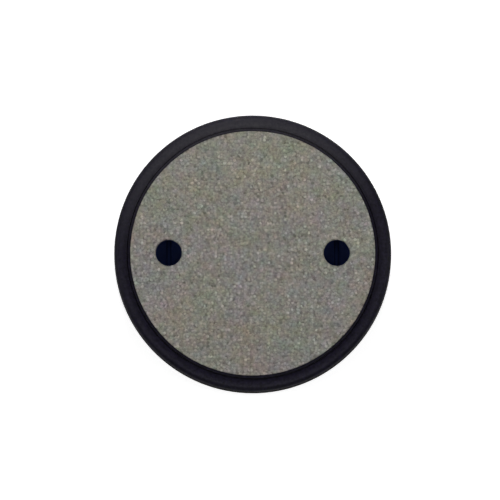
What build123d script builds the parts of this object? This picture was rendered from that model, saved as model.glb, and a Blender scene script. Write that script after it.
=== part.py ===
from build123d import *
import os
from math import hypot, sqrt

# Round manhole cover and frame with a clear opening of 450 mm.
# A cast tray, filled with exposed-aggregate concrete, lies on a loose rubber ring in a cast frame.
# Two blind key pockets, each with a steel bar across it, take the lifting keys.
# Millimetres, +Z up. The origin is the centre of the frame's underside; the key pockets lie on the X axis.

# Frame
OPENING_R = 225.0  # clear opening
FRAME_R = 281.0  # outer edge of the top land
FRAME_H = 60.0
FOOT_R = 284.0
FOOT_T = 9.0
FOOT_EDGE_T = 7.0
SEAT_Z = 11.0  # ledge that carries the cover
RECESS_R = 255.0  # wall round the cover
WALL_T = 9.0
CREST_R = 270.5  # highest line of the domed land
LAND_INNER_Z = 57.2
LAND_OUTER_Z = 54.0
FLANGE_UNDER_Z = 49.0
FLANGE_ROOT_Z = 46.0
GUSSETS = 16
GUSSET_T = 7.0
GUSSET_R = 279.0
CASTING_RADIUS = 3.0

# Seat ring
GROOVE_IN_R = 229.0
GROOVE_OUT_R = 251.0
GROOVE_DEPTH = 1.5
GROOVE_CLEARANCE = 0.5
GASKET_BASE_T = 3.0
GASKET_H = 4.5
RIDGES = 3
RIDGE_W = 3.0
RIDGE_ANGLE = 60.0  # slope of a ridge's sides

# Cover
COVER_R = 253.5
COVER_FOOT_R = 252.0  # the rim tapers to this at its lower edge
COVER_Z = SEAT_Z - GROOVE_DEPTH + GASKET_H  # underside of the cover
RIM_T = 5.0
FLOOR_T = 4.0
FLOOR_Z = 26.0  # underside of the raised floor
SEAT_FLANGE_T = 8.0
STEP_R = 222.0  # inner face of the step between the seat flange and the raised floor
RIB_T = 6.0
RIBS = 8
RING_RIB_R = 120.0
HUB_R = 37.0
POCKET_RIB_R = 49.5

# Key pockets
POCKET_X = 170.3
MOUTH_R = 26.4  # hole in the concrete
COLLAR_R = 26.0  # bore of the pocket's collar
COLLAR_H = 11.0
CHAMBER_R = 27.5
POCKET_R = 30.0
POCKET_Z = 16.0
POCKET_FLOOR_T = 3.0
LIP_T = 3.0  # concrete over the pocket's collar
POCKET_FLANGE_R = 42.0
POCKET_FLANGE_T = 3.0
POCKET_HOLE_R = 30.3  # hole in the tray's floor
BAR_R = 5.0  # lifting bar
BAR_HALF_LENGTH = 54.0
BAR_Z = 39.0

# Pocket fasteners, M6
BOLT_R = 3.0
BOLT_HOLE_R = 3.3
BOLT_CIRCLE_R = 36.0
BOLTS_PER_POCKET = 3
BOLT_HEAD_T = 4.0
BOLT_END_Z = 17.5
HEX_FLATS = 10.0
NUT_T = 5.0
WASHER_R = 6.0
WASHER_T = 1.6

# Reinforcement, 6 mm plain round bar
REBAR_R = 3.0
REBAR_END_R = 242.0  # circle that the bars' ends reach
HOOP_R = 236.0
HOOP_Z = 35.0
HOOP_ARC = 358.0
LAYER_GAP = 0.2
X_BAR_ROWS = (-207.0, -162.0, -112.0, -62.0, 62.0, 112.0, 162.0, 207.0)
Y_BAR_ROWS = (-218.0, -110.0, -55.0, 0.0, 55.0, 110.0, 218.0)
X_BAR_Z = HOOP_Z + 2 * REBAR_R + LAYER_GAP
Y_BAR_Z = X_BAR_Z + 2 * REBAR_R + LAYER_GAP
CHAIR_BASE_R = 9.0
CHAIR_TOP_R = 5.5
CHAIR_H = 10.0
CHAIR_ROWS = (-162.0, -62.0, 62.0, 162.0)  # Y of the bars that the chairs carry
CHAIR_PLACES = (-82.0, -28.0, 28.0, 82.0)  # X along those bars
WIRE_R = 0.7
TIE_R = 7.1
TIE_REACH = 200.0  # no tie lies further out than this
TAIL_R = 0.9
TAIL_LENGTH = 12.0

FLOOR_TOP = FLOOR_Z + FLOOR_T
COVER_TOP = FRAME_H
TRAY_IN_R = COVER_R - RIM_T
COLLAR_TOP = COVER_TOP - LIP_T
POCKET_SIDES = {"left": -1, "right": 1}
UP = (Align.CENTER, Align.CENTER, Align.MIN)

os.makedirs("parts", exist_ok=True)
pieces = {}


def write(name, piece):
    """Label a finished piece, keep it for the fits that follow, and write it."""
    piece.part.label = name
    pieces[name] = piece.part
    export_step(piece.part, f"parts/{name}.step")


def at_radius(radius):
    """Picks the corners of a section that lie at this radius."""
    return lambda corner: abs(corner.X - radius) < 0.01


def in_ring(inner, outer):
    """Picks the corners of a plan that lie between two radii."""
    return lambda corner: inner < hypot(corner.X, corner.Y) < outer


# Frame: a foot with the seat ledge, a wall, a domed land, and gussets between foot and land.
with BuildPart() as frame_ring:
    with BuildSketch(Plane.XZ) as frame_section:
        with BuildLine():
            Polyline(
                (FRAME_R, LAND_OUTER_Z),
                (FRAME_R, FLANGE_UNDER_Z),
                (RECESS_R + WALL_T, FLANGE_ROOT_Z),
                (RECESS_R + WALL_T, FOOT_T),
                (FOOT_R, FOOT_EDGE_T),
                (FOOT_R, 0),
                (OPENING_R, 0),
                (OPENING_R, SEAT_Z),
                (GROOVE_IN_R, SEAT_Z),
                (GROOVE_IN_R, SEAT_Z - GROOVE_DEPTH),
                (GROOVE_OUT_R, SEAT_Z - GROOVE_DEPTH),
                (GROOVE_OUT_R, SEAT_Z),
                (RECESS_R, SEAT_Z),
                (RECESS_R, LAND_INNER_Z),
            )
            TangentArc((CREST_R, FRAME_H), (RECESS_R, LAND_INNER_Z), tangent=(-1, 0))
            TangentArc((CREST_R, FRAME_H), (FRAME_R, LAND_OUTER_Z), tangent=(1, 0))
        make_face()
        root_corners = frame_section.vertices().filter_by(at_radius(RECESS_R + WALL_T))
        fillet(root_corners, CASTING_RADIUS)
        edge_corners = frame_section.vertices().filter_by(at_radius(FOOT_R))
        edge_corners += frame_section.vertices().filter_by(at_radius(OPENING_R))
        fillet(edge_corners, CASTING_RADIUS / 3)
    revolve(axis=Axis.Z)
    with BuildSketch(Plane.XY.offset(FOOT_EDGE_T / 2)) as gusset_plan:
        Circle(RECESS_R + WALL_T)
        with PolarLocations(0, GUSSETS, start_angle=360 / GUSSETS / 2):
            Rectangle(GUSSET_R, GUSSET_T, align=(Align.MIN, Align.CENTER))
        Circle(RECESS_R + WALL_T / 2, mode=Mode.SUBTRACT)
        fillet(gusset_plan.vertices().filter_by(in_ring(GUSSET_R - 1, FOOT_R)), GUSSET_T / 4)
        fillet(gusset_plan.vertices().filter_by(in_ring(RECESS_R + WALL_T - 1, GUSSET_R - 5)), CASTING_RADIUS)
    extrude(amount=LAND_OUTER_Z - FOOT_EDGE_T)
write("frame_ring", frame_ring)

# Seat ring: a flat rubber ring with tapered ridges, loose in the ledge's groove.
with BuildPart() as seat_gasket:
    gasket_in = GROOVE_IN_R + GROOVE_CLEARANCE
    gasket_width = GROOVE_OUT_R - GROOVE_IN_R - 2 * GROOVE_CLEARANCE
    gasket_z = SEAT_Z - GROOVE_DEPTH
    ridge_h = GASKET_H - GASKET_BASE_T
    with BuildSketch(Plane.XZ):
        with Locations((gasket_in, gasket_z)):
            Rectangle(gasket_width, GASKET_BASE_T, align=(Align.MIN, Align.MIN))
        with Locations(Location((gasket_in + gasket_width / 2, gasket_z + GASKET_BASE_T))):
            with GridLocations(gasket_width / RIDGES, 0, RIDGES, 1):
                Trapezoid(RIDGE_W, ridge_h, RIDGE_ANGLE, align=(Align.CENTER, Align.MIN))
    revolve(axis=Axis.Z)
write("seat_gasket", seat_gasket)

# Tray: a tapered rim, a seat flange, a step up to the raised floor, and ribs under the floor.
with BuildPart() as cover_tray:
    with BuildSketch(Plane.XZ) as tray_section:
        with BuildLine():
            Polyline(
                (0, FLOOR_Z),
                (STEP_R, FLOOR_Z),
                (STEP_R, COVER_Z),
                (COVER_FOOT_R, COVER_Z),
                (COVER_R, COVER_TOP),
                (TRAY_IN_R, COVER_TOP),
                (TRAY_IN_R, COVER_Z + SEAT_FLANGE_T),
                (STEP_R + FLOOR_T, COVER_Z + SEAT_FLANGE_T),
                (STEP_R + FLOOR_T, FLOOR_TOP),
                (0, FLOOR_TOP),
                close=True,
            )
        make_face()
        fillet(tray_section.vertices().filter_by(at_radius(STEP_R + FLOOR_T)), CASTING_RADIUS)
        fillet(tray_section.vertices().filter_by(at_radius(COVER_FOOT_R)), CASTING_RADIUS / 2)
    revolve(axis=Axis.Z)
    with BuildSketch(Plane.XY.offset(COVER_Z)):
        with PolarLocations(0, RIBS, start_angle=360 / RIBS / 2):
            Rectangle(STEP_R + FLOOR_T / 2, RIB_T, align=(Align.MIN, Align.CENTER))
        Circle(RING_RIB_R + RIB_T / 2)
        Circle(RING_RIB_R - RIB_T / 2, mode=Mode.SUBTRACT)
        with PolarLocations(0, RIBS, start_angle=360 / RIBS / 2):
            Rectangle(RING_RIB_R, RIB_T, align=(Align.MIN, Align.CENTER))
        Circle(HUB_R + RIB_T / 2)
        Circle(HUB_R - RIB_T / 2, mode=Mode.SUBTRACT)
        with Locations((-POCKET_X, 0), (POCKET_X, 0)):
            Circle(POCKET_RIB_R + RIB_T / 2)
            Circle(POCKET_RIB_R - RIB_T / 2, mode=Mode.SUBTRACT)
    extrude(amount=FLOOR_Z - COVER_Z + FLOOR_T / 2)
    with Locations((-POCKET_X, 0, FLOOR_Z), (POCKET_X, 0, FLOOR_Z)):
        Cylinder(POCKET_HOLE_R, FLOOR_T, align=UP, mode=Mode.SUBTRACT)
    for side in POCKET_SIDES.values():
        with Locations((side * POCKET_X, 0, FLOOR_Z)):
            with PolarLocations(BOLT_CIRCLE_R, BOLTS_PER_POCKET, start_angle=90 - 90 * side):
                Cylinder(BOLT_HOLE_R, FLOOR_T, align=UP, mode=Mode.SUBTRACT)
write("cover_tray", cover_tray)

# Lifting bars: round steel across each pocket, its ends held in the concrete.
for name, side in POCKET_SIDES.items():
    with BuildPart() as lifting_bar:
        with BuildSketch(Plane.XZ.offset(-BAR_HALF_LENGTH)):
            with Locations((side * POCKET_X, BAR_Z)):
                Circle(BAR_R)
        extrude(amount=2 * BAR_HALF_LENGTH)
        chamfer(lifting_bar.edges().filter_by(GeomType.CIRCLE), 1)
    write(f"lifting_bar_{name}", lifting_bar)

# Key pockets: moulded blind cups with a flange on the tray's floor and a narrower collar at the mouth.
for name, side in POCKET_SIDES.items():
    pocket_axis = Axis((side * POCKET_X, 0, 0), (0, 0, 1))
    with BuildPart() as key_pocket:
        with BuildSketch(Plane.XZ.shift_origin((side * POCKET_X, 0, 0))) as cup_section:
            with BuildLine():
                Polyline(
                    (0, POCKET_Z),
                    (POCKET_R, POCKET_Z),
                    (POCKET_R, FLOOR_TOP),
                    (POCKET_FLANGE_R, FLOOR_TOP),
                    (POCKET_FLANGE_R, FLOOR_TOP + POCKET_FLANGE_T),
                    (POCKET_R, FLOOR_TOP + POCKET_FLANGE_T),
                    (POCKET_R, COLLAR_TOP),
                    (COLLAR_R, COLLAR_TOP),
                    (COLLAR_R, COLLAR_TOP - COLLAR_H),
                    (CHAMBER_R, COLLAR_TOP - COLLAR_H),
                    (CHAMBER_R, POCKET_Z + POCKET_FLOOR_T),
                    (0, POCKET_Z + POCKET_FLOOR_T),
                    close=True,
                )
            make_face()
            chamber_corners = cup_section.vertices().filter_by(at_radius(CHAMBER_R))
            fillet(chamber_corners.sort_by(Axis.Y)[0], CASTING_RADIUS - 1)
        revolve(axis=pocket_axis)
        add(pieces[f"lifting_bar_{name}"], mode=Mode.SUBTRACT)
        with Locations((side * POCKET_X, 0, FLOOR_TOP)):
            with PolarLocations(BOLT_CIRCLE_R, BOLTS_PER_POCKET, start_angle=90 - 90 * side):
                Cylinder(BOLT_HOLE_R, POCKET_FLANGE_T, align=UP, mode=Mode.SUBTRACT)
    write(f"key_pocket_{name}", key_pocket)

# Pocket fasteners: bolts down through the flange and the floor, with washers and nuts below.
bolt_places = []
for side in POCKET_SIDES.values():
    with Locations((side * POCKET_X, 0)):
        ring = PolarLocations(BOLT_CIRCLE_R, BOLTS_PER_POCKET, start_angle=90 - 90 * side)
        bolt_places += [place for place in ring]
flange_top = FLOOR_TOP + POCKET_FLANGE_T

with BuildPart() as pocket_bolts:
    with BuildSketch(Plane.XY.offset(flange_top)):
        with Locations(bolt_places):
            RegularPolygon(HEX_FLATS / 2, 6, major_radius=False)
    extrude(amount=BOLT_HEAD_T)
    with BuildSketch(Plane.XY.offset(BOLT_END_Z)):
        with Locations(bolt_places):
            Circle(BOLT_R)
    extrude(amount=flange_top - BOLT_END_Z)
write("pocket_bolts", pocket_bolts)

with BuildPart() as pocket_washers:
    with BuildSketch(Plane.XY.offset(FLOOR_Z - WASHER_T)):
        with Locations(bolt_places):
            Circle(WASHER_R)
            Circle(BOLT_HOLE_R, mode=Mode.SUBTRACT)
    extrude(amount=WASHER_T)
write("pocket_washers", pocket_washers)

with BuildPart() as pocket_nuts:
    with BuildSketch(Plane.XY.offset(FLOOR_Z - WASHER_T - NUT_T)):
        with Locations(bolt_places):
            RegularPolygon(HEX_FLATS / 2, 6, major_radius=False)
            Circle(BOLT_R, mode=Mode.SUBTRACT)
    extrude(amount=NUT_T)
write("pocket_nuts", pocket_nuts)

# Reinforcement: an edge hoop, bars along X on top of it, and bars along Y on top of those.
with BuildPart() as edge_hoop:
    with BuildSketch(Plane.XZ):
        with Locations((HOOP_R, HOOP_Z)):
            Circle(REBAR_R)
    revolve(axis=Axis.Z, revolution_arc=HOOP_ARC)
write("edge_hoop", edge_hoop)

for number, row in enumerate(X_BAR_ROWS, start=1):
    half_length = sqrt(REBAR_END_R**2 - row**2)
    with BuildPart() as rebar_x:
        with BuildSketch(Plane.YZ.offset(-half_length)):
            with Locations((row, X_BAR_Z)):
                Circle(REBAR_R)
        extrude(amount=2 * half_length)
    write(f"rebar_x_{number}", rebar_x)

for number, row in enumerate(Y_BAR_ROWS, start=1):
    half_length = sqrt(REBAR_END_R**2 - row**2)
    with BuildPart() as rebar_y:
        with BuildSketch(Plane.XZ.offset(-half_length)):
            with Locations((row, Y_BAR_Z)):
                Circle(REBAR_R)
        extrude(amount=2 * half_length)
    write(f"rebar_y_{number}", rebar_y)

# Bar chairs: plastic cones that hold the lower bars off the tray's floor, each with a saddle for its bar.
with BuildPart() as bar_chairs:
    chair_places = [(x, y, FLOOR_TOP) for y in CHAIR_ROWS for x in CHAIR_PLACES]
    with Locations(chair_places):
        Cone(CHAIR_BASE_R, CHAIR_TOP_R, CHAIR_H, align=UP)
    for number, row in enumerate(X_BAR_ROWS, start=1):
        if row in CHAIR_ROWS:
            add(pieces[f"rebar_x_{number}"], mode=Mode.SUBTRACT)
write("bar_chairs", bar_chairs)

# Tie wires: a loop round every second crossing, with its twisted tail.
with BuildPart() as tie_wires:
    for column, x in enumerate(Y_BAR_ROWS):
        for row, y in enumerate(X_BAR_ROWS):
            if (column + row) % 2 or hypot(x, y) > TIE_REACH:
                continue
            crossing = (x, y, (X_BAR_Z + Y_BAR_Z) / 2)
            with Locations(Plane(origin=crossing, x_dir=(0, 0, 1), z_dir=(1, -1, 0))):
                Torus(TIE_R, WIRE_R)
                with Locations((TIE_R, 0, 0)):
                    Cylinder(TAIL_R, TAIL_LENGTH, align=UP)
write("tie_wires", tie_wires)

# Concrete: fills the tray to its rim and closes round everything cast into it.
CAST_IN = [name for name in pieces if name not in ("frame_ring", "seat_gasket")]
with BuildPart() as concrete_infill:
    with BuildSketch(Plane.XY.offset(COVER_Z + SEAT_FLANGE_T)):
        Circle(TRAY_IN_R)
    extrude(amount=COVER_TOP - COVER_Z - SEAT_FLANGE_T)
    chamfer(concrete_infill.edges().group_by(Axis.Z)[-1], 1)
    with Locations((-POCKET_X, 0, FLOOR_TOP), (POCKET_X, 0, FLOOR_TOP)):
        Cylinder(POCKET_FLANGE_R, POCKET_FLANGE_T, align=UP, mode=Mode.SUBTRACT)
        Cylinder(POCKET_R, COLLAR_TOP - FLOOR_TOP, align=UP, mode=Mode.SUBTRACT)
        Cylinder(MOUTH_R, COVER_TOP - FLOOR_TOP, align=UP, mode=Mode.SUBTRACT)
    with BuildSketch(Plane.XY.offset(COVER_Z + SEAT_FLANGE_T)):
        Circle(STEP_R + FLOOR_T - CASTING_RADIUS)
    extrude(amount=FLOOR_TOP - COVER_Z - SEAT_FLANGE_T, mode=Mode.SUBTRACT)
    for name in CAST_IN:
        add(pieces[name], mode=Mode.SUBTRACT)
write("concrete_infill", concrete_infill)
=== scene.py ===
from math import cos, radians, sin, tau

import bpy
import numpy as np
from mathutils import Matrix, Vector
from mathutils.geometry import delaunay_2d_cdt


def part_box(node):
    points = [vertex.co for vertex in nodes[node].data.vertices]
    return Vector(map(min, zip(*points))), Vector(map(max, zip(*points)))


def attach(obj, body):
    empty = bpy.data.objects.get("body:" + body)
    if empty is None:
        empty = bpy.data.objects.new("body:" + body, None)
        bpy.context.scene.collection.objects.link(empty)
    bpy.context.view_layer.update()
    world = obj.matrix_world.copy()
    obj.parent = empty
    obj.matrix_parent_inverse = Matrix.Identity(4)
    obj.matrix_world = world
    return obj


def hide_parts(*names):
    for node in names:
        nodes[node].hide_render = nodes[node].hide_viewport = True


# Round manhole cover: a concrete-filled iron tray with two blind key pockets, in its iron frame.
# Metres, +Z up, origin at the centre of the frame's underside.

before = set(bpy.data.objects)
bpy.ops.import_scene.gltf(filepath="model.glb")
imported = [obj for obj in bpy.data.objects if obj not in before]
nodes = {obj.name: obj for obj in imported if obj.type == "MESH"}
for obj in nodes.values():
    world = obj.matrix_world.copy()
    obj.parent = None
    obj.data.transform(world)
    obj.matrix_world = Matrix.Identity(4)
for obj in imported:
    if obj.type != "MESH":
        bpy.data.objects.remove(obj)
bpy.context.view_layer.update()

# ---------------------------------------------------------------- places
# read from the CAD boxes
infill_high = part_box("concrete_infill")[1]
pocket_low, pocket_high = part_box("key_pocket_right")
TOP_Z = infill_high.z
INFILL_R = infill_high.x
COVER_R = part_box("cover_tray")[1].x
POCKET_X = (pocket_low.x + pocket_high.x) / 2
POCKET_TOP_Z = pocket_high.z
POCKET_FLANGE_R = (pocket_high.x - pocket_low.x) / 2

# the CAD model's own sizes
MOUTH_R = 0.0264  # hole in the concrete over each pocket
POCKET_R = 0.030
POCKET_WALL_R = (0.0282, 0.0290)  # within the pocket's wall
POCKET_FLOOR_Z = (0.0165, 0.0175)  # within its floor
FLANGE_TOP_Z = 0.033  # top of the pockets' flanges
FLOOR_TOP_Z = 0.030  # top of the tray's floor
SEAT_FLANGE_TOP_Z = 0.022
STEP_R = 0.226  # outer face of the tray's step
RECESS_R = 0.255  # inner edge of the frame's land
LAND_R = 0.281  # its outer edge

# (inset, drop) of each loop over the concrete's two kinds of arris
RIM_ARRIS = ((0.0016, 0.0), (0.0008, 0.00012), (0.0003, 0.0005), (0.0, 0.0012))
MOUTH_ARRIS = ((0.0019, 0.0), (0.0011, 0.00015), (0.0005, 0.00055), (0.0001, 0.0013))
RIM_CHIP, MOUTH_CHIP = 0.0012, 0.0014  # how far each can break back
RIM_POINTS, MOUTH_POINTS = 960, 108
SIDE_LOOP_Z = 0.045  # a loop part of the way down the outer wall

# the concrete's face
GRAIN_SCALE = 148.0  # coarse grains per metre
GRAIN_DOME = (0.12, 0.55)  # a grain's flat top and foot, as distances from its cell's centre
HOLDS_GRAIN = (0.42, 0.46)  # cells whose random number is above this hold a grain
GRAIN_RELIEF = 0.00045
FACE_DROP = 0.00035  # the paste lies this far below the cover's top
SPACING = 0.00162  # between the points of the face
ROW = 0.866  # height of a triangle of side 1, the lattice's row pitch
RIM_MARGIN, MOUTH_MARGIN = 0.0042, 0.0048  # clear of points, inside the rim and round a mouth
JITTER = 0.22  # how far a point may leave its place, as a share of the spacing
SEED = 20
CONCRETE_MEAN = (0.2590, 0.2495, 0.2180)
MOUTH_DARK_W = 0.0042  # darker ring of the face round each mouth
MM_PER_M = 1000

FLOOR_R = 60.0
FLOOR_GAP = 0.0002  # under the frame's foot


# ---------------------------------------------------------------- node helpers
class Graph:
    """A material's node tree, built from short calls that return sockets."""

    def __init__(self, name):
        self.material = bpy.data.materials.new(name)
        self.material.use_nodes = True
        self.tree = self.material.node_tree
        self.tree.nodes.clear()
        self.where = self.add("ShaderNodeTexCoord").outputs["Object"]

    def add(self, kind, **settings):
        node = self.tree.nodes.new(kind)
        for key, value in settings.items():
            setattr(node, key, value)
        return node

    def plug(self, socket, value):
        if isinstance(value, bpy.types.NodeSocket):
            self.tree.links.new(value, socket)
        elif value is not None:
            socket.default_value = value

    def maths(self, operation, a, b=None):
        node = self.add("ShaderNodeMath", operation=operation)
        for socket, value in zip(node.inputs, (a, b)):
            self.plug(socket, value)
        return node.outputs[0]

    def noise(self, scale, detail=3.0, roughness=0.5, distortion=0.0, where=None):
        node = self.add("ShaderNodeTexNoise", noise_dimensions="3D")
        self.plug(node.inputs["Vector"], where or self.where)
        self.plug(node.inputs["Scale"], scale)
        self.plug(node.inputs["Detail"], detail)
        self.plug(node.inputs["Roughness"], roughness)
        self.plug(node.inputs["Distortion"], distortion)
        return node.outputs["Fac"]

    def cells(self, scale, dimensions="3D"):
        """A Voronoi texture: its node, for its Distance and Color."""
        node = self.add("ShaderNodeTexVoronoi", voronoi_dimensions=dimensions)
        self.plug(node.inputs["Vector"], self.where)
        self.plug(node.inputs["Scale"], scale)
        return node

    def stretched(self, value, low, high, to_low=0.0, to_high=1.0, smooth=True):
        """The value's place between low and high, as a number between to_low and to_high."""
        node = self.add("ShaderNodeMapRange",
                        interpolation_type="SMOOTHSTEP" if smooth else "LINEAR")
        for name, v in (("Value", value), ("From Min", low), ("From Max", high),
                        ("To Min", to_low), ("To Max", to_high)):
            self.plug(node.inputs[name], v)
        return node.outputs["Result"]

    def ramp(self, value, stops):
        """Colours along a linear ramp, from (place, colour) stops."""
        node = self.add("ShaderNodeValToRGB")
        elements = node.color_ramp.elements
        while len(elements) < len(stops):
            elements.new(0.5)
        for element, (place, colour) in zip(elements, stops):
            element.position = place
            element.color = (*colour, 1.0)
        self.plug(node.inputs["Fac"], value)
        return node.outputs["Color"]

    def mixed(self, share, a, b, blend="MIX"):
        node = self.add("ShaderNodeMix", data_type="RGBA", blend_type=blend)
        self.plug(node.inputs["Factor"], share)
        for socket, value in ((node.inputs["A"], a), (node.inputs["B"], b)):
            self.plug(socket, (*value, 1.0) if isinstance(value, tuple) else value)
        return node.outputs["Result"]

    def split(self, colour):
        node = self.add("ShaderNodeSeparateColor")
        self.plug(node.inputs["Color"], colour)
        return node.outputs

    def xyz(self):
        node = self.add("ShaderNodeSeparateXYZ")
        self.plug(node.inputs["Vector"], self.where)
        return node.outputs

    def shifted(self, by):
        """The object's coordinates moved along, so that a second texture differs from the first."""
        node = self.add("ShaderNodeVectorMath", operation="ADD")
        self.plug(node.inputs[0], self.where)
        node.inputs[1].default_value = (by, by, by)
        return node.outputs[0]

    def length(self, x, y):
        return self.maths("SQRT", self.maths("ADD", self.maths("MULTIPLY", x, x),
                                             self.maths("MULTIPLY", y, y)))

    def radius(self, x=0.0):
        """Distance from the vertical axis through a point of the X axis."""
        parts = self.xyz()
        return self.length(self.maths("SUBTRACT", parts["X"], x), parts["Y"])

    def bump(self, height, distance, strength):
        node = self.add("ShaderNodeBump")
        self.plug(node.inputs["Height"], height)
        self.plug(node.inputs["Distance"], distance)
        self.plug(node.inputs["Strength"], strength)
        return node.outputs["Normal"]

    def shader(self, **inputs):
        """The finished material, from the Principled shader's inputs by name."""
        node = self.add("ShaderNodeBsdfPrincipled")
        for name, value in inputs.items():
            socket = node.inputs[name.replace("_", " ")]
            if isinstance(value, tuple) and len(value) == 3:
                value = (*value, 1.0)
            self.plug(socket, value)
        out = self.add("ShaderNodeOutputMaterial")
        self.tree.links.new(node.outputs["BSDF"], out.inputs["Surface"])
        return self.material


def grey(value):
    return (value, value, value)


def shades(colour, *stops):
    """Ramp stops in one colour, each at a brightness."""
    return [(place, tuple(level * c for c in colour)) for place, level in stops]


# ---------------------------------------------------------------- materials
def concrete_material():
    """Washed concrete: coarse and fine grains of mixed stone in grey paste."""
    g = Graph("washed_concrete")
    coarse = g.cells(GRAIN_SCALE, dimensions="2D")
    pick = g.split(coarse.outputs["Color"])
    dome = g.stretched(coarse.outputs["Distance"], *GRAIN_DOME, 1.0, 0.0)
    is_stone = g.stretched(pick["Red"], *HOLDS_GRAIN)
    in_grain = g.stretched(coarse.outputs["Distance"], 0.38, 0.50, 1.0, 0.0)
    stone = g.maths("MULTIPLY", in_grain, is_stone)
    fine = g.cells(255.0)
    fine_pick = g.split(fine.outputs["Color"])
    sand = g.cells(1100.0)
    sand_pick = g.split(sand.outputs["Color"])

    stone_colour = g.ramp(pick["Green"], shades(
        CONCRETE_MEAN, (0.00, 0.46), (0.08, 0.60), (0.22, 0.83), (0.50, 1.00),
        (0.80, 1.13), (0.94, 1.30), (1.00, 1.55),
    ))
    tint = g.ramp(pick["Blue"], [
        (0.00, (0.975, 1.012, 0.98)), (0.30, grey(1.0)),
        (0.65, grey(1.0)), (1.00, (1.03, 0.985, 1.0)),
    ])
    stone_colour = g.mixed(1.0, stone_colour, tint, "MULTIPLY")
    veins = g.ramp(g.noise(2400.0, 2.0), [(0.3, grey(0.92)), (0.7, grey(1.07))])
    stone_colour = g.mixed(1.0, stone_colour, veins, "MULTIPLY")

    paste = g.ramp(fine_pick["Red"], shades(
        CONCRETE_MEAN, (0.00, 0.66), (0.20, 0.90), (0.60, 1.00), (0.90, 1.10), (1.00, 1.30)))
    sanded = g.ramp(sand_pick["Red"], [(0.0, grey(0.91)), (0.5, grey(1.0)), (1.0, grey(1.08))])
    paste = g.mixed(1.0, paste, sanded, "MULTIPLY")
    # painted shade: the paste darker in the gaps between fine grains and in the crevices round the
    # coarse grains
    gap_shade = g.stretched(fine.outputs["Distance"], 0.42, 0.64, 1.0, 0.84)
    crevice_shade = g.stretched(coarse.outputs["Distance"], 0.40, 0.50, 0.0, 0.11)
    gap_shade = g.maths("SUBTRACT", gap_shade, g.maths("MULTIPLY", crevice_shade, is_stone))
    paste = g.mixed(1.0, paste, gap_shade, "MULTIPLY")
    colour = g.mixed(stone, paste, stone_colour)

    # stains and the changing mix of stone: broad and small patches of tone, then of tint
    for scale, detail, shift, low, high in (
        (22.0, 5.0, 0.0, grey(0.91), grey(1.09)),
        (170.0, 1.5, 5.1, grey(0.83), grey(1.17)),
        (9.0, 4.0, 0.4, (0.925, 1.035, 0.94), (1.075, 0.965, 1.01)),
        (10.0, 4.0, 3.7, (1.02, 1.0, 0.89), (0.98, 1.0, 1.11)),
        (62.0, 1.5, 1.3, (0.945, 1.022, 0.985), (1.05, 0.975, 1.01)),
        (54.0, 1.5, 7.1, (1.012, 1.0, 0.92), (0.988, 1.0, 1.08)),
    ):
        patch = g.noise(scale, detail, 0.7, 0.0, g.shifted(shift))
        patch = g.ramp(patch, [(0.30, low), (0.50, grey(1.0)), (0.70, high)])
        colour = g.mixed(1.0, colour, patch, "MULTIPLY")
    # the face darker close to each mouth
    for side in (-1, 1):
        mouth_dark = g.stretched(g.radius(side * POCKET_X), MOUTH_R, MOUTH_R + MOUTH_DARK_W, 0.70, 1.0)
        colour = g.mixed(1.0, colour, mouth_dark, "MULTIPLY")

    fine_height = g.stretched(fine.outputs["Distance"], 0.1, 0.6, 1.0, 0.0)
    height = g.maths("MULTIPLY", g.maths("MULTIPLY", dome, is_stone), 0.5)
    height = g.maths("ADD", height, g.maths("MULTIPLY", fine_height, 0.45))
    height = g.maths("ADD", height, g.maths("MULTIPLY", g.noise(1800.0, 3.0, 0.6), 0.35))
    rough = g.stretched(g.noise(900.0, 2.0), 0.3, 0.7, 0.74, 0.94)
    rough = g.maths("SUBTRACT", rough, g.maths("MULTIPLY", stone, 0.16))
    return g.shader(Base_Color=colour, Roughness=rough, Normal=g.bump(height, 0.00045, 0.7),
                    Specular_IOR_Level=0.28)


# colours of the cast iron, all in the same black bitumen paint, with painted highlights on the top
LAND_BLACK = (0.0034, 0.0026, 0.0078)
FLANK_BLACK = (0.0125, 0.0122, 0.0132)
# partly paint greyed by feet, partly a painted highlight along the land's crest
WORN_AND_SHEEN_GREY = (0.0195, 0.0170, 0.0300)
# painted highlight: the land's top lighter on its +Y side, where the sheen light falls
PAINTED_SHEEN_GREY = (0.0315, 0.0298, 0.0365)
SIDE_DUST = (0.052, 0.047, 0.041)
RUST = (0.070, 0.026, 0.011)
SHEEN_WAY = radians(100.0)  # about +Z from +X: the side of the top painted lighter, as a highlight
SHEEN_SPAN = (0.045, 0.275)  # how far out that way the film starts and is full
SHEEN_THIN_IN = (RECESS_R, 0.2640)  # radii between which it thickens from the land's inner edge
SHEEN_THIN_OUT = (0.2712, 0.2765)  # and thins towards the outer one
WORN_AND_SHEEN_BAND = (0.2520, 0.270, 0.2755)  # radii: greyed paint starts, is greyest, ends
WORN_AND_SHEEN_Z = (0.052, 0.057)  # heights between which it starts


def painted_sheen_film(g):
    """Share of painted highlight on the top: full far out on the +Y side, thin at the land's two
    edges.
    """
    parts, r = g.xyz(), g.radius()
    lean = g.maths("ADD", g.maths("MULTIPLY", parts["X"], cos(SHEEN_WAY)),
                   g.maths("MULTIPLY", parts["Y"], sin(SHEEN_WAY)))
    film = g.stretched(lean, *SHEEN_SPAN, 0.0, 0.98, False)
    film = g.maths("MULTIPLY", film, g.stretched(r, *SHEEN_THIN_IN, 0.75, 1.0))
    film = g.maths("MULTIPLY", film, g.stretched(r, *SHEEN_THIN_OUT, 1.0, 0.35))
    patches = g.stretched(g.noise(170.0, 4.0, 0.7), 0.3, 0.7, 0.55, 1.45, False)
    return g.maths("MULTIPLY", film, patches)


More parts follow.
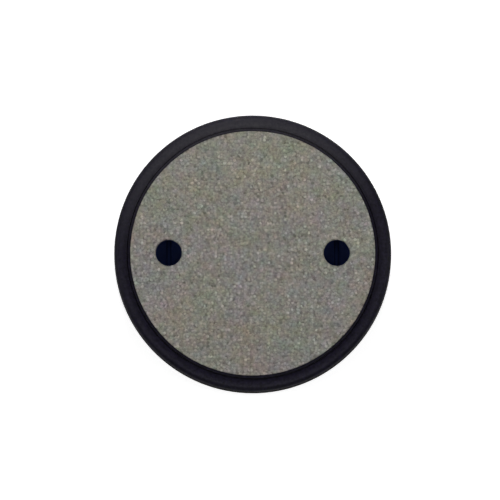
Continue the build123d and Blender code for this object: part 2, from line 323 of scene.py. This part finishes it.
def cast_iron_material(name, side_top, wear_rings, rough, wear_and_sheen=0.0):
    """Sand-cast iron in black paint, with a painted highlight: its top lighter on one side.

    Below the height side_top the paint is lighter and dusty, with streaks and rust spots.
    wear_rings are (radius, width, amount): edges where the paint is rubbed through.
    The last argument is how far the land's crest is greyed: partly paint worn by feet, partly a
    painted highlight.
    """
    g = Graph(name)
    z = g.xyz()["Z"]
    lumps = g.noise(160.0, 3.0, 0.55)
    swells = g.noise(38.0, 2.0, 0.5)
    runs = g.noise(150.0, 5.0, 0.7, 0.4)
    colour = g.ramp(runs, shades(LAND_BLACK, (0.32, 0.2), (0.50, 1.0), (0.68, 2.6)))
    if wear_and_sheen:
        # the land's crest greyed: partly worn paint, partly a painted highlight
        inner, crest, outer = WORN_AND_SHEEN_BAND
        r = g.radius()
        band = g.maths("MULTIPLY", g.stretched(r, inner, crest),
                       g.stretched(r, crest, outer, 1.0, 0.0))
        band = g.maths("MULTIPLY", band, g.stretched(z, *WORN_AND_SHEEN_Z))
        patches = g.stretched(g.noise(190.0, 3.0, 0.65), 0.32, 0.68, 0.0, 2.0, False)
        band = g.maths("MULTIPLY", band, patches)
        colour = g.mixed(g.maths("MULTIPLY", band, wear_and_sheen), colour, WORN_AND_SHEEN_GREY)
    # painted highlight: the top lighter on its +Y side, standing in for the lamps' sheen
    colour = g.mixed(painted_sheen_film(g), colour, PAINTED_SHEEN_GREY)

    low = g.stretched(z, side_top - 0.003, side_top, 1.0, 0.0)
    flank = g.ramp(g.noise(70.0, 5.0, 0.65),
                   shades(FLANK_BLACK, (0.30, 0.7), (0.50, 1.0), (0.72, 1.5)))
    squash = g.add("ShaderNodeMapping")
    g.plug(squash.inputs["Vector"], g.where)
    squash.inputs["Scale"].default_value = (1.0, 1.0, 0.12)
    streak = g.stretched(g.noise(85.0, 4.0, 0.6, 0.0, squash.outputs[0]), 0.50, 0.72)
    dust = g.stretched(g.noise(38.0, 6.0, 0.75), 0.44, 0.74)
    dust = g.maths("ADD", g.maths("MULTIPLY", streak, 0.28), g.maths("MULTIPLY", dust, 0.38))
    flank = g.mixed(dust, flank, SIDE_DUST)
    rust_spots = g.stretched(g.noise(210.0, 4.0, 0.7, 0.3), 0.66, 0.74, 0.0, 0.55)
    flank = g.mixed(rust_spots, flank, RUST)
    colour = g.mixed(low, colour, flank)

    specks = g.cells(420.0)
    worn = g.stretched(g.split(specks.outputs["Color"])["Red"], 0.972, 0.985)
    worn = g.maths("MULTIPLY", worn, g.stretched(specks.outputs["Distance"], 0.12, 0.30, 1.0, 0.0))
    worn = g.maths("MULTIPLY", worn, 0.45)
    r = g.radius()
    torn = g.noise(420.0, 4.0, 0.7)
    for place, width, amount in wear_rings:
        near = g.stretched(g.maths("ABSOLUTE", g.maths("SUBTRACT", r, place)), 0.0, width, 1.0, 0.0)
        ring = g.maths("MULTIPLY", near, g.stretched(torn, 0.50, 0.66, 0.0, amount))
        worn = g.maths("MAXIMUM", worn, ring)
    metal = g.ramp(g.noise(700.0, 2.0), [
        (0.35, (0.050, 0.043, 0.038)), (0.65, (0.095, 0.086, 0.079)),
    ])
    colour = g.mixed(worn, colour, metal)

    height = g.maths("ADD", g.maths("MULTIPLY", g.noise(900.0, 2.0, 0.5), 0.16),
                     g.maths("MULTIPLY", lumps, 0.8))
    height = g.maths("ADD", height, g.maths("MULTIPLY", swells, 1.6))
    height = g.maths("SUBTRACT", height, g.maths("MULTIPLY", worn, 0.25))
    roughness = g.stretched(g.noise(130.0, 5.0, 0.65), 0.3, 0.7, rough - 0.05, rough + 0.12)
    roughness = g.maths("ADD", roughness, g.maths("MULTIPLY", g.maths("MULTIPLY", dust, low), 0.30))
    return g.shader(Base_Color=colour, Roughness=roughness, Metallic=0.0,
                    Normal=g.bump(height, 0.00035, 0.75), Specular_IOR_Level=0.14)


def moulded_plastic_material(name, base, rough, shine=0.32):
    """Moulded plastic or thick paint, with a fine grain and faint scuffs."""
    g = Graph(name)
    colour = g.ramp(g.noise(45.0, 3.0, 0.6), shades(base, (0.3, 0.8), (0.7, 1.25)))
    scuffs = g.stretched(g.noise(310.0, 6.0, 0.75, 1.2), 0.60, 0.74)
    colour = g.mixed(g.maths("MULTIPLY", scuffs, 0.25), colour, tuple(3.0 * c for c in base))
    grain = g.noise(900.0, 2.0, 0.5)
    roughness = g.stretched(g.noise(180.0, 3.0), 0.3, 0.7, rough - 0.06, rough + 0.1)
    return g.shader(Base_Color=colour, Roughness=roughness, Normal=g.bump(grain, 0.00008, 0.6),
                    Specular_IOR_Level=shine)


def pocket_material():
    """Black moulded plastic, coloured blue-black inside the blind cup as painted shade."""
    g = Graph("pocket_plastic")
    parts = g.xyz()
    reach = g.length(g.maths("SUBTRACT", g.maths("ABSOLUTE", parts["X"]), POCKET_X), parts["Y"])
    inside = g.maths("MULTIPLY", g.stretched(reach, *POCKET_WALL_R, 1.0, 0.0),
                     g.stretched(parts["Z"], *POCKET_FLOOR_Z))
    shade = g.noise(60.0, 4.0, 0.65)
    # painted shade: the blue-black of the shade deep inside the cup
    cup = g.ramp(shade, [(0.3, (0.0046, 0.0108, 0.0520)), (0.7, (0.0070, 0.0156, 0.0740))])
    shell = g.ramp(shade, [(0.3, (0.010, 0.0104, 0.0118)), (0.7, (0.019, 0.0195, 0.021))])
    scuffs = g.stretched(g.noise(310.0, 6.0, 0.75, 1.2), 0.58, 0.74, 0.0, 0.3)
    shell = g.mixed(scuffs, shell, (0.055, 0.055, 0.056))
    roughness = g.stretched(g.noise(180.0, 3.0), 0.3, 0.7, 0.62, 0.78)
    return g.shader(Base_Color=g.mixed(inside, shell, cup), Roughness=roughness,
                    Normal=g.bump(g.noise(900.0, 2.0), 0.00008, 0.6), Specular_IOR_Level=0.12)


def rubber_material():
    """Black extruded rubber with a chalky bloom."""
    g = Graph("seal_rubber")
    bloom = g.stretched(g.noise(60.0, 5.0, 0.7), 0.42, 0.72)
    colour = g.mixed(g.maths("MULTIPLY", bloom, 0.6), (0.013, 0.013, 0.013), (0.034, 0.034, 0.035))
    grain = g.noise(1500.0, 2.0)
    rough = g.stretched(bloom, 0.0, 1.0, 0.66, 0.86)
    return g.shader(Base_Color=colour, Roughness=rough, Normal=g.bump(grain, 0.00006, 0.5),
                    Specular_IOR_Level=0.3)


def steel_material(name, light, dark, metallic, rough):
    """Bar, wire or zinc-plated steel: patchy tone, fine drawn or plated grain."""
    scale = 260.0
    g = Graph(name)
    patch = g.noise(scale, 4.0, 0.65, 0.5)
    colour = g.ramp(patch, [(0.28, dark), (0.72, light)])
    spangle = g.cells(scale * 3)
    spangle = g.ramp(g.split(spangle.outputs["Color"])["Red"], [(0.0, grey(0.7)), (1.0, grey(1.3))])
    colour = g.mixed(0.35, colour, g.mixed(1.0, colour, spangle, "MULTIPLY"))
    roughness = g.stretched(g.noise(scale * 1.7, 3.0), 0.3, 0.7, rough - 0.08, rough + 0.12)
    grain = g.noise(scale * 5, 3.0, 0.6)
    return g.shader(Base_Color=colour, Metallic=metallic, Roughness=roughness,
                    Normal=g.bump(grain, 0.00004, 0.6))


# ---------------------------------------------------------------- mesh helpers
def circle(x, radius, count, z=0.0):
    angle = np.arange(count) / count * tau
    return np.stack([x + radius * np.cos(angle), radius * np.sin(angle), np.full(count, z)], 1)


class Shell:
    """Collects points and faces for one mesh."""

    def __init__(self):
        self.points, self.faces = [], []

    def ring(self, points):
        first = len(self.points)
        self.points += [tuple(p) for p in points]
        return list(range(first, first + len(points)))

    def strip(self, a, b):
        """Quads from loop a to loop b, which have equal counts."""
        n = len(a)
        self.faces += [(a[i], a[(i + 1) % n], b[(i + 1) % n], b[i]) for i in range(n)]

    def sheet(self, loops, inner, upward, keep):
        """Triangles between boundary loops, through any inner points, where keep says.

        They are made in millimetres, because the triangulation's tolerance is absolute.
        """
        used = [i for loop in loops for i in loop] + list(inner)
        flat = [Vector(self.points[i][:2]) * MM_PER_M for i in used]
        edges, start = [], 0
        for loop in loops:
            n = len(loop)
            edges += [(start + i, start + (i + 1) % n) for i in range(n)]
            start += n
        made = delaunay_2d_cdt(flat, edges, [], 0, 1e-5, False)
        for a, b, c in made[2]:
            mid = (made[0][a] + made[0][b] + made[0][c]) / (3 * MM_PER_M)
            if keep(mid.x, mid.y):
                corners = (used[a], used[b], used[c])
                self.faces.append(corners if upward else corners[::-1])

    def mesh(self, name, material, smooth=True):
        data = bpy.data.meshes.new(name)
        data.from_pydata(self.points, [], self.faces)
        data.materials.append(material)
        data.polygons.foreach_set("use_smooth", [smooth] * len(data.polygons))
        data.update()
        data.validate()
        made = bpy.data.objects.new(name, data)
        bpy.context.scene.collection.objects.link(made)
        return made


def value_noise(x, y, scale, seed):
    """Smooth noise, -1 to 1, on a grid of the given cell size."""
    gx, gy = x / scale, y / scale
    ix, iy = np.floor(gx).astype(int), np.floor(gy).astype(int)
    fx, fy = gx - ix, gy - iy
    fx, fy = fx * fx * (3 - 2 * fx), fy * fy * (3 - 2 * fy)

    def corner(i, j):
        h = (i * 374761393 + j * 668265263 + seed * 974634777) & 0xFFFFFFFF
        h = ((h ^ (h >> 13)) * 1274126177) & 0xFFFFFFFF
        return ((h ^ (h >> 16)) & 0xFFFF) / 32767.5 - 1

    low = corner(ix, iy) * (1 - fx) + corner(ix + 1, iy) * fx
    high = corner(ix, iy + 1) * (1 - fx) + corner(ix + 1, iy + 1) * fx
    return low * (1 - fy) + high * fy


# ---------------------------------------------------------------- concrete
def chipped(loop_r, x0, count, chip, seed):
    """A broken arris: its angles, how far it is broken back, up to chip, and its waver."""
    angle = np.arange(count) / count * tau
    run_x, run_y = loop_r * np.cos(angle), loop_r * np.sin(angle)
    fine = value_noise(run_x + x0, run_y, 0.0035, seed)
    broad = value_noise(run_x + x0, run_y, 0.017, seed + 1)
    bite = np.clip(0.35 * fine + 0.9 * broad - 0.35, 0, 1)
    return angle, bite * chip, 0.25 * chip * fine


def concrete_mesh(material):
    """The concrete as one closed mesh: face, chipped arrises, mouths, pocket rooms, underside."""
    rng = np.random.default_rng(SEED)
    shell = Shell()
    face_z = TOP_Z - FACE_DROP
    loops = []

    # outer arris and wall, from the face outwards and down
    angle, bite, wander = chipped(INFILL_R, 0.0, RIM_POINTS, RIM_CHIP, 5)
    rings = []
    for inset, drop in RIM_ARRIS:
        r = INFILL_R - inset - (bite + np.abs(wander)) * (1.0 if inset else 0.35)
        z = face_z - drop - bite * 0.5 * (drop > 0)
        rings.append(shell.ring(np.column_stack([r * np.cos(angle), r * np.sin(angle), z])))
    for r, z in ((INFILL_R, SIDE_LOOP_Z), (INFILL_R, SEAT_FLANGE_TOP_Z),
                 (STEP_R, SEAT_FLANGE_TOP_Z), (STEP_R, FLOOR_TOP_Z)):
        rings.append(shell.ring(circle(0, r, RIM_POINTS, z)))
    for a, b in zip(rings, rings[1:]):
        shell.strip(b, a)
    loops.append(rings[0])
    under_loops = [rings[-1]]

    # each mouth: arris, throat, then the room for the pocket down to the tray's floor
    for side in (-1, 1):
        x0 = side * POCKET_X
        angle, bite, wander = chipped(MOUTH_R, x0, MOUTH_POINTS, MOUTH_CHIP, 11 + side)
        rings = []
        for outset, drop in MOUTH_ARRIS:
            r = MOUTH_R + outset + (bite + np.abs(wander)) * (1.0 if outset > 0.0002 else 0.3)
            z = face_z - drop - bite * 0.6 * (drop > 0)
            x, y = x0 + r * np.cos(angle), r * np.sin(angle)
            rings.append(shell.ring(np.column_stack([x, y, z])))
        for r, z in ((MOUTH_R, POCKET_TOP_Z), (POCKET_R, POCKET_TOP_Z), (POCKET_R, FLANGE_TOP_Z),
                     (POCKET_FLANGE_R, FLANGE_TOP_Z), (POCKET_FLANGE_R, FLOOR_TOP_Z)):
            rings.append(shell.ring(circle(x0, r, MOUTH_POINTS, z)))
        for a, b in zip(rings, rings[1:]):
            shell.strip(a, b)
        loops.append(rings[0])
        under_loops.append(rings[-1])

    # the face's own points: a jittered triangular lattice
    rows = int(INFILL_R / (SPACING * ROW)) + 1
    lattice = []
    for i in range(-rows, rows + 1):
        x = np.arange(-INFILL_R - SPACING, INFILL_R + SPACING, SPACING) + (i % 2) * SPACING / 2
        lattice.append(np.stack([x, np.full_like(x, i * SPACING * ROW)], 1))
    p = np.concatenate(lattice)
    p += rng.uniform(-JITTER * SPACING, JITTER * SPACING, p.shape)
    keep = np.hypot(*p.T) < INFILL_R - RIM_MARGIN
    for side in (-1, 1):
        keep &= np.hypot(p[:, 0] - side * POCKET_X, p[:, 1]) > MOUTH_R + MOUTH_MARGIN
    p = p[keep]
    undulation = (0.00012 * value_noise(p[:, 0], p[:, 1], 0.045, 3)
                  + 0.00006 * value_noise(p[:, 0], p[:, 1], 0.012, 4))
    inner = shell.ring(np.column_stack([p, face_z - 0.00018 + undulation]))

    def clear_of_pockets(radius):
        return lambda x, y: all(np.hypot(x - side * POCKET_X, y) > radius for side in (-1, 1))

    shell.sheet(loops, inner, True, clear_of_pockets(MOUTH_R))
    shell.sheet(under_loops, (), False, clear_of_pockets(POCKET_FLANGE_R * 0.99))
    made = shell.mesh("concrete_fill", material)
    raise_grains(made, face_z)
    return made


def raise_grains(made, face_z):
    """Lifts the coarse grains out of the paste, in the same cells that the material colours."""
    group = bpy.data.node_groups.new("grain_relief", "GeometryNodeTree")
    group.interface.new_socket("Geometry", in_out="INPUT", socket_type="NodeSocketGeometry")
    group.interface.new_socket("Geometry", in_out="OUTPUT", socket_type="NodeSocketGeometry")
    new, link = group.nodes.new, group.links.new
    start, end = new("NodeGroupInput"), new("NodeGroupOutput")
    place = new("GeometryNodeInputPosition")
    parts = new("ShaderNodeSeparateXYZ")
    link(place.outputs[0], parts.inputs[0])
    cells = new("ShaderNodeTexVoronoi")
    cells.voronoi_dimensions = "2D"
    cells.inputs["Scale"].default_value = GRAIN_SCALE
    link(place.outputs[0], cells.inputs["Vector"])
    pick = new("FunctionNodeSeparateColor")
    link(cells.outputs["Color"], pick.inputs[0])

    def span(value, low, high, to_low, to_high):
        node = new("ShaderNodeMapRange")
        node.interpolation_type = "SMOOTHSTEP"
        link(value, node.inputs["Value"])
        for name, v in (("From Min", low), ("From Max", high),
                        ("To Min", to_low), ("To Max", to_high)):
            node.inputs[name].default_value = v
        return node.outputs["Result"]

    def times(a, b):
        node = new("ShaderNodeMath")
        node.operation = "MULTIPLY"
        for socket, value in zip(node.inputs, (a, b)):
            if isinstance(value, float):
                socket.default_value = value
            else:
                link(value, socket)
        return node.outputs[0]

    dome = span(cells.outputs["Distance"], *GRAIN_DOME, 1.0, 0.0)
    stone = span(pick.outputs[0], *HOLDS_GRAIN, -0.25, 1.0)
    on_top = span(parts.outputs["Z"], face_z - 0.0006, face_z - 0.0003, 0.0, 1.0)  # not the walls
    rise = times(times(times(dome, stone), on_top), GRAIN_RELIEF)
    offset = new("ShaderNodeCombineXYZ")
    link(rise, offset.inputs["Z"])
    move = new("GeometryNodeSetPosition")
    link(start.outputs[0], move.inputs["Geometry"])
    link(offset.outputs[0], move.inputs["Offset"])
    link(move.outputs["Geometry"], end.inputs[0])
    modifier = made.modifiers.new("grains", "NODES")
    modifier.node_group = group
    graph = bpy.context.evaluated_depsgraph_get()
    final = bpy.data.meshes.new_from_object(made.evaluated_get(graph))
    made.modifiers.clear()
    old, made.data = made.data, final
    bpy.data.meshes.remove(old)
    bpy.data.node_groups.remove(group)
    final.name = made.name


# ---------------------------------------------------------------- materials on the CAD nodes
frame_iron = cast_iron_material(
    "frame_iron", side_top=0.053, rough=0.34, wear_and_sheen=0.30,
    wear_rings=((RECESS_R + 0.0002, 0.0008, 0.3), (LAND_R - 0.0004, 0.0008, 0.2)))
tray_iron = cast_iron_material(
    "tray_iron", side_top=0.0575, rough=0.6, wear_rings=((COVER_R - 0.0003, 0.0006, 0.3),))
pocket_plastic = pocket_material()
# the bar is black paint; its blue tint is painted shade, the colour of the shade deep in the pocket
bar_steel = moulded_plastic_material("bar_steel", (0.0016, 0.0034, 0.0150), 0.85, 0.05)
zinc_steel = steel_material("zinc_steel", (0.55, 0.55, 0.53), (0.36, 0.36, 0.36), 0.9, 0.38)
rebar_steel = steel_material("rebar_steel", (0.22, 0.16, 0.12), (0.12, 0.09, 0.075), 0.6, 0.6)
wire_steel = steel_material("wire_steel", (0.14, 0.12, 0.11), (0.07, 0.06, 0.055), 0.7, 0.5)
chair_plastic = moulded_plastic_material("chair_plastic", (0.25, 0.25, 0.25), 0.55)
seal_rubber = rubber_material()
washed_concrete = concrete_material()

NODE_MATERIALS = {  # by the start of the node's name
    "frame_ring": frame_iron, "cover_tray": tray_iron, "seat_gasket": seal_rubber,
    "key_pocket": pocket_plastic, "lifting_bar": bar_steel, "pocket_": zinc_steel,
    "edge_hoop": rebar_steel, "rebar": rebar_steel, "bar_chairs": chair_plastic,
    "tie_wires": wire_steel,
}
for name, node in nodes.items():
    for start, material in NODE_MATERIALS.items():
        if name.startswith(start):
            for place in node.material_slots:
                place.material = material

concrete = concrete_mesh(washed_concrete)
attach(concrete, "cover")
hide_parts("concrete_infill")


# ---------------------------------------------------------------- floor, light and camera
def floor():
    """A white floor that glows a little, and more far out, where the lights don't reach."""
    g = Graph("studio_floor")
    shade = g.ramp(g.noise(3.0, 2.0), [(0.3, grey(0.93)), (0.7, grey(0.95))])
    glow = g.stretched(g.radius(), 1.5, 7.0, 0.62, 0.82)
    material = g.shader(Base_Color=shade, Roughness=0.9, Specular_IOR_Level=0.1,
                        Emission_Color=grey(1.0), Emission_Strength=glow)
    shell = Shell()
    shell.faces.append(tuple(shell.ring(circle(0, FLOOR_R, 64))))
    made = shell.mesh("studio_floor", material, False)
    made.location.z = -FLOOR_GAP


def softbox(name, place, target, size, power):
    """A round area light aimed at target, which the camera doesn't see."""
    data = bpy.data.lights.new(name, "AREA")
    data.shape, data.size, data.energy = "DISK", size, power
    made = bpy.data.objects.new(name, data)
    bpy.context.scene.collection.objects.link(made)
    made.location = place
    made.rotation_euler = (Vector(target) - Vector(place)).to_track_quat("-Z", "Y").to_euler()
    made.visible_camera = False
    return made


def studio_world(zenith, horizon):
    """A grey dome: zenith overhead, horizon lower down, and white at the floor's far edge."""
    world = bpy.data.worlds.new("studio")
    bpy.context.scene.world = world
    world.use_nodes = True
    tree = world.node_tree
    tree.nodes.clear()
    out, back = tree.nodes.new("ShaderNodeOutputWorld"), tree.nodes.new("ShaderNodeBackground")
    place, parts = tree.nodes.new("ShaderNodeTexCoord"), tree.nodes.new("ShaderNodeSeparateXYZ")
    ramp = tree.nodes.new("ShaderNodeValToRGB")
    tree.links.new(place.outputs["Generated"], parts.inputs[0])
    tree.links.new(parts.outputs["Z"], ramp.inputs["Fac"])
    tree.links.new(ramp.outputs["Color"], back.inputs["Color"])
    tree.links.new(back.outputs["Background"], out.inputs["Surface"])
    elements = ramp.color_ramp.elements
    elements.new(0.5)
    for element, (height, glow) in zip(elements, ((0.045, 1.1), (0.11, horizon), (0.85, zenith))):
        element.position, element.color = height, (*grey(glow), 1)


def camera():
    """Almost straight above, tilted back towards -Y."""
    elevation, distance = radians(86.0), 4.22
    data = bpy.data.cameras.new("camera")
    data.lens, data.sensor_width = 150.0, 36.0
    made = bpy.data.objects.new("camera", data)
    bpy.context.scene.collection.objects.link(made)
    target = Vector((-0.0055, 0.0057, TOP_Z))
    back = Vector((0.0, -cos(elevation), sin(elevation)))
    made.location = target + back * distance
    made.rotation_euler = (-back).to_track_quat("-Z", "Y").to_euler()
    bpy.context.scene.camera = made


floor()
studio_world(0.15, 0.45)
key = softbox("key", (0.0, 2.3, 1.7), (0, 0.1, 0), 1.4, 47)
key.visible_glossy = False  # it would show as a bright line on the frame's land
softbox("fill", (0.0, -1.6, 1.9), (0, 0, 0), 1.4, 3.0)
softbox("left", (-1.7, 0.0, 1.8), (0, 0, 0), 1.4, 7.1)
softbox("right", (1.7, 0.0, 1.8), (0, 0, 0), 1.4, 7.5)
softbox("sheen", (0.0, -0.36, 2.1), (0, 0.2, 0), 0.40, 4.5)  # light on the land's +Y side
camera()
bpy.context.scene.view_settings.view_transform = "Standard"
